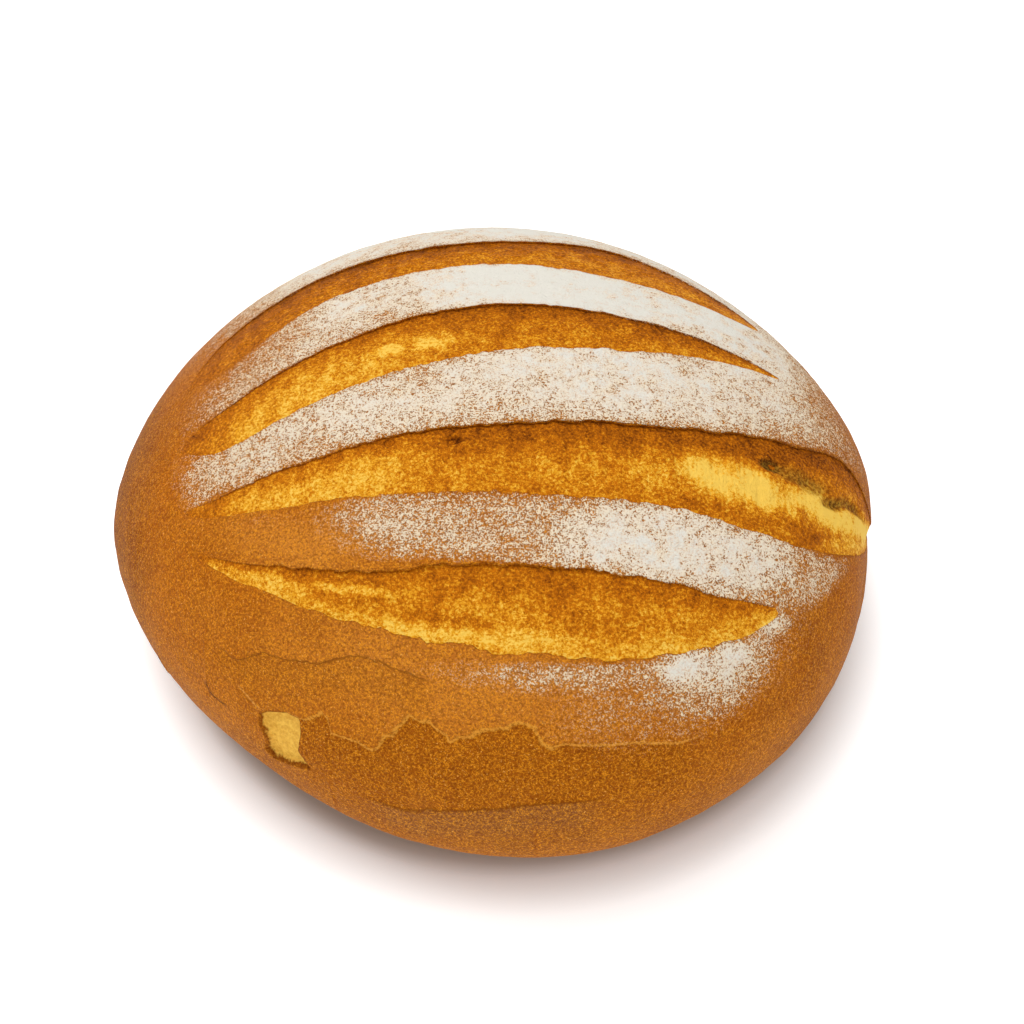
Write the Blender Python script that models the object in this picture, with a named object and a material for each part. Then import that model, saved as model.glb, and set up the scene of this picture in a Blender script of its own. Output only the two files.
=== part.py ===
"""A round country loaf with four long scores, modelled as one closed solid.

The loaf lies along X with its flat base on Z = 0, and the origin is under the middle
of its box. Its skin is a grid. The columns are stations along X, from the left tip to
the right tip. The rows are roll angles about the long axis: 0 at the crown, positive
towards the front (-Y). Rows follow both edges of every score, so each lip stays sharp.
Sizes are in millimetres and angles in degrees; the mesh is made in metres.
"""
import math
from typing import NamedTuple

import bmesh
import bpy
import numpy as np

MM = 0.001

# Form of the loaf, before it is scored
HALF_LENGTH = 135.0
BACK_REACH = 134.7
FRONT_REACH = 133.8
GIRTH_HEIGHT = 41.9        # level of the widest outline above the base
CROWN_RISE = 77.4          # crown above the girth
BELLY_DROP = 48.9          # depth the round belly would have if the oven floor did not flatten it
BELLY_SQUARENESS = 2.5     # 2 is an ellipse, more is a fuller corner towards the base
BACK_TAPER = (1.10, 1.32)  # how fast each outline narrows: (left tip, right tip)
FRONT_TAPER = (1.15, 1.10)
HEIGHT_TAPER = (1.12, 0.80)
FRONT_LEAN = -0.067        # moves the fullest station of the front towards the right tip

# Grid
COLUMNS = 78
BACK_ROWS = 17
BAND_ROWS = 4
BELLY_ROWS = 17
MIN_SCORE_ROLL = 1.6       # rows of a score never lie closer than this in all

# Lips of crust that stand up along a score, and the torn crumb inside it
BACK_LIP_RISE = 0.9
FRONT_LIP_RISE = 0.3
LIP_REACH = 4.5            # roll angle over which a lip dies away
OVERHANG = 1.2             # how far the foot of the cut reaches back under its lip
BLOOM_STEPS = (0.04, 0.20, 0.42, 0.68, 0.94)
BLOOM_FULLNESS = 0.6       # below 1 the crumb bulges
CRAG_HEIGHT = 0.9
CRAG_LENGTH = 11.0         # spacing of the crags along X
CRAG_TURN = 5.0            # spacing of the crags round the loaf, as roll angle

# Chip where a flake of crust has come off the front left shoulder
CHIP_X = (-70.5, -57.0)
CHIP_ROLL = (71.0, 88.0)
CHIP_DEPTH = 2.6
CHIP_EDGE_X = 1.0
CHIP_EDGE_ROLL = 1.2
CHIP_ROW_NUMBERS = (4, 5, 8, 9)
CHIP_ROW_FADE = 40.0

CRUST_COLOUR = (0.42, 0.16, 0.03, 1.0)
CRUST_ROUGHNESS = 0.55


class Score(NamedTuple):
    """One cut: its two tips, the roll of both edges at seven stations, and its depth.

    The seven stations lie closer together towards the tips, like the feet of evenly
    spaced points on a half circle. Past a tip the line drifts to the pole roll given.
    """

    left: float
    right: float
    back: tuple
    front: tuple
    poles: tuple
    depth: float


SCORES = (
    Score(-104.0, 96.0, (-12.0, -25.5, -32.6, -34.6, -38.6, -35.2, -31.0),
          (-12.0, -10.5, -20.6, -24.4, -24.6, -26.2, -31.0), (-22.0, -52.0), 2.2),
    Score(-102.0, 99.0, (10.5, 3.0, -5.9, -11.9, -12.2, -10.5, -8.9),
          (10.5, 14.6, 5.8, -1.0, -3.8, -7.0, -8.9), (6.0, -12.0), 2.4),
    Score(-98.0, 134.5, (30.5, 25.3, 16.1, 11.9, 10.8, 13.8, 46.0),
          (30.5, 29.5, 25.3, 24.0, 29.0, 43.5, 52.0), (32.0, 50.0), 3.0),
    Score(-93.0, 91.0, (40.0, 40.0, 38.4, 35.3, 36.7, 43.4, 48.0),
          (40.0, 43.6, 46.6, 48.6, 50.1, 50.1, 48.0), (58.0, 84.0), 2.4),
)


def clear_scene():
    """Removes every object that the scene starts with."""
    for item in list(bpy.data.objects):
        bpy.data.objects.remove(item, do_unlink=True)


def smooth_step(share):
    """Rises from 0 to 1 with level ends."""
    share = np.clip(share, 0.0, 1.0)
    return share * share * (3.0 - 2.0 * share)


def smooth_line(values, place):
    """Cubic curve through evenly spaced values; place runs from 0 to len(values) - 1."""
    values = np.asarray(values, dtype=float)
    slopes = np.gradient(values)
    cell = np.clip(np.floor(place).astype(int), 0, len(values) - 2)
    f = np.clip(place - cell, 0.0, 1.0)
    rise = smooth_step(f)
    leave = f * (1.0 - f) ** 2 * slopes[cell]
    arrive = f * f * (1.0 - f) * slopes[cell + 1]
    return values[cell] * (1.0 - rise) + values[cell + 1] * rise + leave - arrive


def loaf_form(x, roll):
    """Points of the unscored skin, belly uncut, for stations x and roll angles.

    The half width and the height at a station are powers of the half circle over the
    length. Above the girth a section is half an ellipse, below it a fuller curve.
    """
    along = np.clip(x / HALF_LENGTH, -1.0, 1.0)
    station = np.arcsin(along)
    arch = np.cos(station)
    side = 0.5 + 0.5 * along
    share = station / (0.5 * math.pi)
    leaned = np.cos(station + 0.5 * math.pi * FRONT_LEAN * (1.0 - share * share)).clip(0.0)
    turn = np.radians(roll)
    across = np.sin(turn)
    upward = np.cos(turn)
    front = FRONT_REACH * leaned ** np.interp(side, (0, 1), FRONT_TAPER)
    back = BACK_REACH * arch ** np.interp(side, (0, 1), BACK_TAPER)
    power = np.where(upward < 0.0, 2.0 / BELLY_SQUARENESS, 1.0)
    reach = np.where(across > 0.0, -front, back) * np.abs(across) ** power
    rise = np.where(upward < 0.0, -BELLY_DROP, CROWN_RISE) * np.abs(upward) ** power
    height = GIRTH_HEIGHT + rise * arch ** np.interp(side, (0, 1), HEIGHT_TAPER)
    return np.stack([x + 0.0 * reach, reach, height], axis=-1)


def score_lines(score, x):
    """Roll of the back and front edge at each station, and how open the cut is there."""
    middle = 0.5 * (score.left + score.right)
    half = 0.5 * (score.right - score.left)
    along = np.clip((x - middle) / half, -1.0, 1.0)
    place = (np.arcsin(along) / math.pi + 0.5) * (len(score.back) - 1)
    drift = ((score.poles[0] - score.back[0]) * smooth_step((score.left - x) / (score.left + HALF_LENGTH))
             + (score.poles[1] - score.back[-1]) * smooth_step((x - score.right) / (HALF_LENGTH - score.right)))
    back = smooth_line(score.back, place) + drift
    front = smooth_line(score.front, place) + drift
    gap = np.maximum(MIN_SCORE_ROLL - (front - back), 0.0)
    return back - 0.5 * gap, front + 0.5 * gap, np.sqrt(1.0 - along * along)


def crags(x, roll):
    """Uneven crumb: two crossed waves and a slow one that breaks their beat."""
    slow = np.sin(x / (1.7 * CRAG_LENGTH) + 0.31 * roll)
    fine = np.sin(2.0 * math.pi * x / CRAG_LENGTH + 1.3 * slow) * np.cos(2.0 * math.pi * roll / CRAG_TURN + slow)
    return CRAG_HEIGHT * (0.6 * fine + 0.4 * slow)


def lip(opening, rise, distance):
    """Height of crust that curls up beside a cut, at a roll distance from its edge."""
    return rise * opening * np.exp(-distance / LIP_REACH)


def chip_recess(x, roll):
    """Depth of the flake's bed: full between its four sides, nothing past its edges."""
    in_x = smooth_step((x - CHIP_X[0]) / CHIP_EDGE_X) * smooth_step((CHIP_X[1] - x) / CHIP_EDGE_X)
    in_roll = (smooth_step((roll - CHIP_ROLL[0]) / CHIP_EDGE_ROLL)
               * smooth_step((CHIP_ROLL[1] - roll) / CHIP_EDGE_ROLL))
    return CHIP_DEPTH * in_x * in_roll


def stations():
    """Columns along X, closer together at the tips, with extra ones at the chip's sides."""
    even = HALF_LENGTH * np.sin(np.linspace(-0.5, 0.5, COLUMNS + 1) * math.pi)[1:-1]
    sides = (CHIP_X[0], CHIP_X[0] + CHIP_EDGE_X, CHIP_X[1] - CHIP_EDGE_X, CHIP_X[1])
    kept = even[np.min(np.abs(even[:, None] - np.array(sides)), axis=1) > CHIP_EDGE_X]
    return np.sort(np.concatenate([kept, sides]))


def belly_rolls(x, front):
    """Rows from the last score round the front to the bottom.

    They are spread evenly, but beside the chip they bend so that a pair of rows runs
    along its upper side and another pair along its lower side.
    """
    even = np.linspace(0.0, 1.0, BELLY_ROWS + 1)[1:-1]
    chip_rows = (CHIP_ROLL[0], CHIP_ROLL[0] + CHIP_EDGE_ROLL, CHIP_ROLL[1] - CHIP_EDGE_ROLL, CHIP_ROLL[1])
    knots = [0.0, *(number / BELLY_ROWS for number in CHIP_ROW_NUMBERS), 1.0]
    bent = np.stack([np.interp(even, knots, (start, *chip_rows, 180.0)) for start in front], axis=1)
    plain = front + np.outer(even, 180.0 - front)
    beside = np.maximum(CHIP_X[0] - x, x - CHIP_X[1])
    near = 1.0 - smooth_step(beside / CHIP_ROW_FADE)
    return plain + near * (bent - plain)


def skin_rows(x):
    """Roll, height above the form and backward slip of every row, as three grids."""
    lines = [score_lines(score, x) for score in SCORES]
    flat = np.zeros_like(x)
    rows = [(np.full_like(x, -180.0), flat, flat)]

    def add(roll, height, slip=flat):
        rows.append((roll, height, slip))

    first_back, _, first_open = lines[0]
    for share in np.linspace(0.0, 1.0, BACK_ROWS + 1)[1:-1]:
        roll = -180.0 + share * (first_back + 180.0)
        add(roll, lip(first_open, BACK_LIP_RISE, first_back - roll))
    for number, (score, (back, front, opening)) in enumerate(zip(SCORES, lines)):
        add(back, BACK_LIP_RISE * opening)
        for step in BLOOM_STEPS:
            roll = back + step * (front - back)
            fill = math.sin(0.5 * math.pi * step ** BLOOM_FULLNESS)
            depth = opening * score.depth * (1.0 - fill)
            uneven = crags(x, roll) * opening * math.sin(math.pi * step)
            add(roll, uneven - depth, OVERHANG * opening * (1.0 - fill) ** 2)
        add(front, FRONT_LIP_RISE * opening)
        if number + 1 < len(SCORES):
            next_back, _, next_open = lines[number + 1]
            for share in np.linspace(0.0, 1.0, BAND_ROWS + 1)[1:-1]:
                roll = front + share * (next_back - front)
                add(roll, lip(opening, FRONT_LIP_RISE, roll - front)
                    + lip(next_open, BACK_LIP_RISE, next_back - roll))
    last_front, last_open = lines[-1][1], lines[-1][2]
    for roll in belly_rolls(x, last_front):
        add(roll, lip(last_open, FRONT_LIP_RISE, roll - last_front) - chip_recess(x, roll))
    return [np.array(grid) for grid in zip(*rows)]


def skin_points():
    """Grid of finished skin points: the form, moved along its normal and back under the lips."""
    x = stations()
    roll, height, slip = skin_rows(x)
    form = loaf_form(x[None, :], roll)
    along = np.gradient(form, axis=1)
    around = np.diff(np.concatenate([form[-1:], form, form[:1]]), axis=0)
    around = around[:-1] + around[1:]
    around /= np.linalg.norm(around, axis=-1, keepdims=True)
    normal = np.cross(around, along)
    normal /= np.linalg.norm(normal, axis=-1, keepdims=True)
    outward = np.sign((normal * (form - form.mean(axis=(0, 1)))).sum(axis=-1, keepdims=True))
    return form + normal * outward * height[..., None] - around * slip[..., None]


def build_skin(mesh):
    """Closes the grid with a fan at each tip, then cuts it flat at the base."""
    points = skin_points()
    rows, columns = points.shape[:2]
    tips = [(-HALF_LENGTH, 0.0, GIRTH_HEIGHT), (HALF_LENGTH, 0.0, GIRTH_HEIGHT)]
    mesh_points = [mesh.verts.new(point * MM) for point in points.reshape(-1, 3)]
    left_tip, right_tip = (mesh.verts.new([value * MM for value in tip]) for tip in tips)
    for row in range(rows):
        here = mesh_points[row * columns:(row + 1) * columns]
        after = (row + 1) % rows
        there = mesh_points[after * columns:(after + 1) * columns]
        mesh.faces.new((left_tip, here[0], there[0]))
        mesh.faces.new((right_tip, there[-1], here[-1]))
        for a, b, c, d in zip(here[:-1], here[1:], there[1:], there[:-1]):
            mesh.faces.new((a, b, c, d))


def flatten_base(mesh):
    """Cuts the belly off at the oven floor and closes it with one flat face."""
    everything = mesh.verts[:] + mesh.edges[:] + mesh.faces[:]
    bmesh.ops.bisect_plane(mesh, geom=everything, dist=1e-6, plane_co=(0, 0, 0), plane_no=(0, 0, 1),
                           clear_inner=True)
    rim = [edge for edge in mesh.edges if edge.is_boundary]
    bmesh.ops.contextual_create(mesh, geom=rim)
    bmesh.ops.recalc_face_normals(mesh, faces=mesh.faces[:])


def centre_on_base(mesh):
    """Moves the loaf so that the origin is under the middle of its box."""
    corners = np.array([vertex.co for vertex in mesh.verts])
    middle = 0.5 * (corners.min(axis=0) + corners.max(axis=0))
    bmesh.ops.translate(mesh, vec=(-middle[0], -middle[1], 0.0), verts=mesh.verts[:])


def crust_material():
    """Baked crust, golden brown and dull."""
    material = bpy.data.materials.new("baked_crust")
    material.use_nodes = True
    shader = material.node_tree.nodes["Principled BSDF"]
    shader.inputs["Base Color"].default_value = CRUST_COLOUR
    shader.inputs["Roughness"].default_value = CRUST_ROUGHNESS
    shader.inputs["Metallic"].default_value = 0.0
    material.diffuse_color = CRUST_COLOUR
    return material


def make_loaf():
    """Builds the loaf as one object."""
    shape = bmesh.new()
    build_skin(shape)
    flatten_base(shape)
    centre_on_base(shape)
    data = bpy.data.meshes.new("loaf")
    shape.to_mesh(data)
    shape.free()
    data.materials.append(crust_material())
    data.shade_smooth()
    loaf = bpy.data.objects.new("loaf", data)
    bpy.context.scene.collection.objects.link(loaf)
    return loaf


clear_scene()
make_loaf()
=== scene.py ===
"""The looks of a round country loaf with four long open scores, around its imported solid.

Every shape is a grid over the skin of the loaf. A column is a station along X, given as an
angle from the middle to a tip, and a row is a roll angle about the long axis, 0 at the crown
and positive towards the front (-Y). Sizes are in millimetres, angles in degrees unless a name
says otherwise, and meshes are made in metres.
"""

import logging
import math
from dataclasses import dataclass, field
from enum import Enum

import bpy
import numpy as np
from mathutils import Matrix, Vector


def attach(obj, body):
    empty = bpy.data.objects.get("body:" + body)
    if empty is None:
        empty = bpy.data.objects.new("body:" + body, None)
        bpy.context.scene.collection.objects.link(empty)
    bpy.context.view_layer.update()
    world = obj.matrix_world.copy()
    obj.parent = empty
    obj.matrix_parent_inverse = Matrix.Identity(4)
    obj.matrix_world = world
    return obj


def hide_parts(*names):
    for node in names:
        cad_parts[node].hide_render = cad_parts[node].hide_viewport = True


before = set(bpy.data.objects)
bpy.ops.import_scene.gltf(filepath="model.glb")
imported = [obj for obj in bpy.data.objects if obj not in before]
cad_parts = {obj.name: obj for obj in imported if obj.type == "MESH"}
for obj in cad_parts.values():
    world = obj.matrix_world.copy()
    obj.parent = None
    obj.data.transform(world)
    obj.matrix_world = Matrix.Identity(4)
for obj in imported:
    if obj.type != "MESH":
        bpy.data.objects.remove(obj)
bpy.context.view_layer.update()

MM = 0.001
FRAME_PX = 1024
SENSOR_MM = 36.0

Socket = bpy.types.NodeSocket

log = logging.getLogger("loaf")


def linear(code: str) -> tuple[float, float, float, float]:
    """Turns an sRGB hex colour into linear light.

    Args:
        code: The colour as "#RRGGBB".

    Returns:
        Linear red, green, blue and an alpha of 1.
    """
    shares = [int(code[place:place + 2], 16) / 255.0 for place in (1, 3, 5)]
    light = [share / 12.92 if share <= 0.04045 else ((share + 0.055) / 1.055) ** 2.4 for share in shares]
    return light[0], light[1], light[2], 1.0


def ease(share: np.ndarray) -> np.ndarray:
    """Rises from 0 to 1 with level ends: 3 s squared less 2 s cubed."""
    held = np.clip(share, 0.0, 1.0)
    return held * held * (3.0 - 2.0 * held)


def through(values: tuple[float, ...], place: np.ndarray) -> np.ndarray:
    """Runs a smooth curve through evenly spaced values.

    Between two values it is the cubic whose slope at each is half the difference of its
    neighbours.

    Args:
        values: The values at places 0, 1, 2 and so on.
        place: Where the curve is read.

    Returns:
        The curve at each place.
    """
    table = np.asarray(values, dtype=float)
    slopes = np.gradient(table)
    cell = np.clip(np.floor(place).astype(int), 0, len(table) - 2)
    f = np.clip(place - cell, 0.0, 1.0)
    rise = ease(f)
    leave = f * (1.0 - f) ** 2 * slopes[cell]
    arrive = f * f * (1.0 - f) * slopes[cell + 1]
    return table[cell] * (1.0 - rise) + table[cell + 1] * rise + leave - arrive


def lattice_noise(points: np.ndarray, cell: float, seed: int) -> np.ndarray:
    """Smooth noise: a random number at each corner of a cubic lattice, eased in between.

    Args:
        points: Places in millimetres, last axis x, y, z.
        cell: Spacing of the lattice in millimetres.
        seed: Picks one of many lattices.

    Returns:
        Values from -1 to 1.
    """
    place = points / cell
    corner = np.floor(place).astype(np.int64)
    blend = ease(place - corner)
    total = np.zeros(points.shape[:-1])
    for step in np.ndindex(2, 2, 2):
        x, y, z = (corner[..., axis] + step[axis] for axis in range(3))
        mixed = (x * 73856093) ^ (y * 19349663) ^ (z * 83492791) ^ (seed * 2654435761)
        mixed = (mixed ^ (mixed >> 13)) * 1274126177 & 0x7FFFFFFF
        mixed = (mixed ^ (mixed >> 11)) * 16807 & 0x7FFFFFFF
        share = np.ones(points.shape[:-1])
        for axis in range(3):
            share = share * (blend[..., axis] if step[axis] else 1.0 - blend[..., axis])
        total += share * (mixed / 0x3FFFFFFF - 1.0)
    return total


def rough(points: np.ndarray, cell: float, octaves: int, seed: int) -> np.ndarray:
    """Adds up lattice noise, each octave half as large and half as strong as the last.

    Args:
        points: Places in millimetres, last axis x, y, z.
        cell: Spacing of the first lattice in millimetres.
        octaves: How many lattices are added up.
        seed: Picks the first of them.

    Returns:
        Values from about -2 to 2.
    """
    total = np.zeros(points.shape[:-1])
    for octave in range(octaves):
        total += lattice_noise(points, cell / 2 ** octave, seed + octave) / 2 ** octave
    return total


def drawn_out(x: np.ndarray, roll: np.ndarray, stretch: float) -> np.ndarray:
    """Coordinates for noise that is drawn out round the loaf: X, and a small share of the roll."""
    return np.stack([x, stretch * roll, 0.0 * roll], axis=-1)


def add_object(name: str, data: bpy.types.ID) -> bpy.types.Object:
    """Makes an object at the origin and links it to the scene."""
    thing = bpy.data.objects.new(name, data)
    bpy.context.scene.collection.objects.link(thing)
    return thing


@dataclass(frozen=True)
class Hollow:
    """A shallow hollow in the baked skin: a bell curve along X, eased in and out round the loaf.

    start and end are each a roll and the degrees over which the hollow sets in or runs out.
    A twin lies as far to the left of the middle as the first to the right.
    """

    depth: float
    x: float
    reach: float
    start: tuple[float, float]
    end: tuple[float, float]
    twin: bool = False

    def at(self, x: np.ndarray, roll: np.ndarray) -> np.ndarray:
        """Reads the hollow.

        Args:
            x: Stations in millimetres.
            roll: Roll angles in degrees.

        Returns:
            Depths in millimetres.
        """
        along = np.abs(x) if self.twin else x
        bell = np.exp(-((along - self.x) / self.reach) ** 2)
        begun = ease((roll - self.start[0]) / self.start[1])
        return self.depth * bell * begun * ease((self.end[0] - roll) / self.end[1])


@dataclass(frozen=True)
class LoafForm:
    """The unscored loaf: the form that the solid has, and the hollows that its skin has besides."""

    half_length: float = 135.0
    back_reach: float = 134.7
    front_reach: float = 133.8
    girth_height: float = 41.9
    crown_rise: float = 77.4
    belly_drop: float = 48.9
    belly_squareness: float = 2.5
    back_taper: tuple[float, float] = (1.10, 1.32)
    front_taper: tuple[float, float] = (1.15, 1.10)
    height_taper: tuple[float, float] = (1.12, 0.80)
    front_lean: float = -0.067
    hollows: tuple[Hollow, ...] = (
        # The crown's sag, the tuck low on both sides of the front, and the dent at the right tip
        Hollow(0.45, 0.0, 75.0, (-130.0, 40.0), (25.0, 60.0)),
        Hollow(1.3, 74.0, 28.0, (78.0, 22.0), (150.0, 30.0), twin=True),
        Hollow(1.3, 131.0, 7.0, (42.0, 10.0), (92.0, 14.0)),
    )
    tiny_turn: float = 0.002

    def raw(self, station: np.ndarray, roll: np.ndarray) -> np.ndarray:
        """Places points on the form.

        The half width and the height are powers of the cosine of the station angle. Above
        the girth a section is half an ellipse, below it a fuller curve, not yet cut flat.

        Args:
            station: Angle along the loaf in radians, from -pi/2 at the left tip.
            roll: Roll angle in degrees.

        Returns:
            Points in millimetres.
        """
        along = np.sin(station)
        arch = np.cos(station).clip(1e-9)
        side = 0.5 + 0.5 * along
        share = station / (0.5 * math.pi)
        leaned = np.cos(station + 0.5 * math.pi * self.front_lean * (1.0 - share * share)).clip(1e-9)
        across = np.sin(np.radians(roll))
        upward = np.cos(np.radians(roll))
        front = self.front_reach * leaned ** np.interp(side, (0, 1), self.front_taper)
        back = self.back_reach * arch ** np.interp(side, (0, 1), self.back_taper)
        power = np.where(upward < 0.0, 2.0 / self.belly_squareness, 1.0)
        reach = np.where(across > 0.0, -front, back) * np.abs(across) ** power
        rise = np.where(upward < 0.0, -self.belly_drop, self.crown_rise) * np.abs(upward) ** power
        height = self.girth_height + rise * arch ** np.interp(side, (0, 1), self.height_taper)
        return np.stack([self.half_length * along + 0.0 * reach, reach, height], axis=-1)

    def middle(self) -> np.ndarray:
        """Finds where the form's box has its middle, so that it can be brought over the origin.

        Returns:
            The middle in X and Y, with a height of 0.
        """
        station = np.linspace(-0.5, 0.5, 721)[None, :] * math.pi
        girth = self.raw(station, np.array([[-90.0], [90.0]])).reshape(-1, 3)
        middle = 0.5 * (girth.min(axis=0) + girth.max(axis=0))
        return np.array([middle[0], middle[1], 0.0])

    def settle(self, x: np.ndarray, roll: np.ndarray) -> np.ndarray:
        """How far the baked skin lies off the form, in millimetres, never above 0."""
        return -sum(hollow.at(x, roll) for hollow in self.hollows)

    def frames(self, station: np.ndarray, roll: np.ndarray) -> tuple[np.ndarray, np.ndarray, np.ndarray]:
        """Points of the skin with their outward normals and their unit ways round the loaf.

        Args:
            station: Angle along the loaf in radians.
            roll: Roll angle in degrees, of a shape that station broadcasts to.

        Returns:
            Points, normals and ways of growing roll.
        """
        turn = self.tiny_turn
        degrees = math.degrees(turn)
        safe = np.clip(station, turn - 0.5 * math.pi, 0.5 * math.pi - turn)
        around = self.raw(safe, roll + degrees) - self.raw(safe, roll - degrees)
        ahead = self.raw(safe + turn, roll) - self.raw(safe - turn, roll)
        around /= np.linalg.norm(around, axis=-1, keepdims=True)
        normal = np.cross(around, ahead)
        normal /= np.linalg.norm(normal, axis=-1, keepdims=True)
        return self.raw(station, roll) - self.middle(), normal, around


@dataclass(frozen=True)
class Spot:
    """A small place in the crumb of a score that is paler, darker, greyed by painted shade, or sunk."""

    x: float
    across: float
    reach_x: float
    reach_across: float
    toast: float = 0.0
    # Share of painted shade that greys the crumb towards olive and dark brown
    painted_shade: float = 0.0
    sink: float = 0.0

    def share(self, x: np.ndarray, across: np.ndarray) -> np.ndarray:
        """Nearly 1 within the spot's reach and nearly 0 outside it: a bell curve with a flat top."""
        far = ((x - self.x) / self.reach_x) ** 2 + ((across - self.across) / self.reach_across) ** 2
        return np.exp(-far * far)


@dataclass(frozen=True)
class Score:
    """One cut, opened in the oven: its tips, both edges, its depth and how its crumb is baked.

    Both edges are rolls at stations that lie closer together towards the tips, like the
    feet of evenly spaced points on a half circle. toast is the baking of the crumb at five
    even steps from the back edge to the front edge: 0 is pale, 1 is nearly burnt. gape is how
    far past its right tip the cut would close, if it were longer, fibre how strongly strands
    show in the pale crumb, tip_blend how far from its left tip the crumb still looks like the
    crust, left_glow how much paler its left part is, closing how short of its right tip it
    starts to close, and waver how far the edges stray, coarsely and finely.
    """

    name: str
    left: float
    right: float
    back: tuple[float, ...]
    front: tuple[float, ...]
    poles: tuple[float, float]
    depth: float
    toast: tuple[float, ...]
    lump: float = 0.4
    spots: tuple[Spot, ...] = ()
    seed: int = 0
    gape: float = 0.0
    fibre: float = 0.0
    tip_blend: float = 17.0
    left_glow: float = 0.20
    closing: float = 1.5
    waver: tuple[float, float] = (0.20, 0.20)

    def at(self, x: np.ndarray, reach: float) -> tuple[np.ndarray, np.ndarray, np.ndarray]:
        """Reads both edges at stations along X.

        Args:
            x: Stations in millimetres.
            reach: Half the loaf's length.

        Returns:
            Roll of the back edge, roll of the front edge, and how open the cut is from 0 to 1.
        """
        middle = 0.5 * (self.left + self.right)
        half = 0.5 * (self.right - self.left)
        along = np.clip((x - middle) / half, -1.0, 1.0)
        wide = np.clip((x - middle - 0.5 * self.gape) / (half + 0.5 * self.gape), -1.0, 1.0)
        opening = np.sqrt(1.0 - wide * wide) * ease((self.right - x) / self.closing)
        place = (np.arcsin(along) / math.pi + 0.5) * (len(self.back) - 1)
        drift = (self.poles[0] - self.back[0]) * ease((self.left - x) / (self.left + reach))
        drift = drift + (self.poles[1] - self.back[-1]) * ease((x - self.right) / (reach - self.right))
        behind = self.stray(x, (13.0, 2.6), (self.seed, self.seed + 3)) * opening
        before = self.stray(x, (9.0, 2.2), (self.seed + 7, self.seed + 9)) * opening
        back = through(self.back, place) + drift + behind
        front = through(self.front, place) + drift + before
        return back, front, opening

    def stray(self, x: np.ndarray, cells: tuple[float, float], seeds: tuple[int, int]) -> np.ndarray:
        """How far an edge strays.

        Args:
            x: Stations in millimetres.
            cells: Sizes of the coarse and the fine noise in millimetres.
            seeds: Their seeds.

        Returns:
            Degrees of roll.
        """
        line = drawn_out(x, 0.0 * x, 0.0)
        coarse = self.waver[0] * rough(line, cells[0], 3, seeds[0])
        return coarse + self.waver[1] * rough(line, cells[1], 2, seeds[1])


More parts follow.
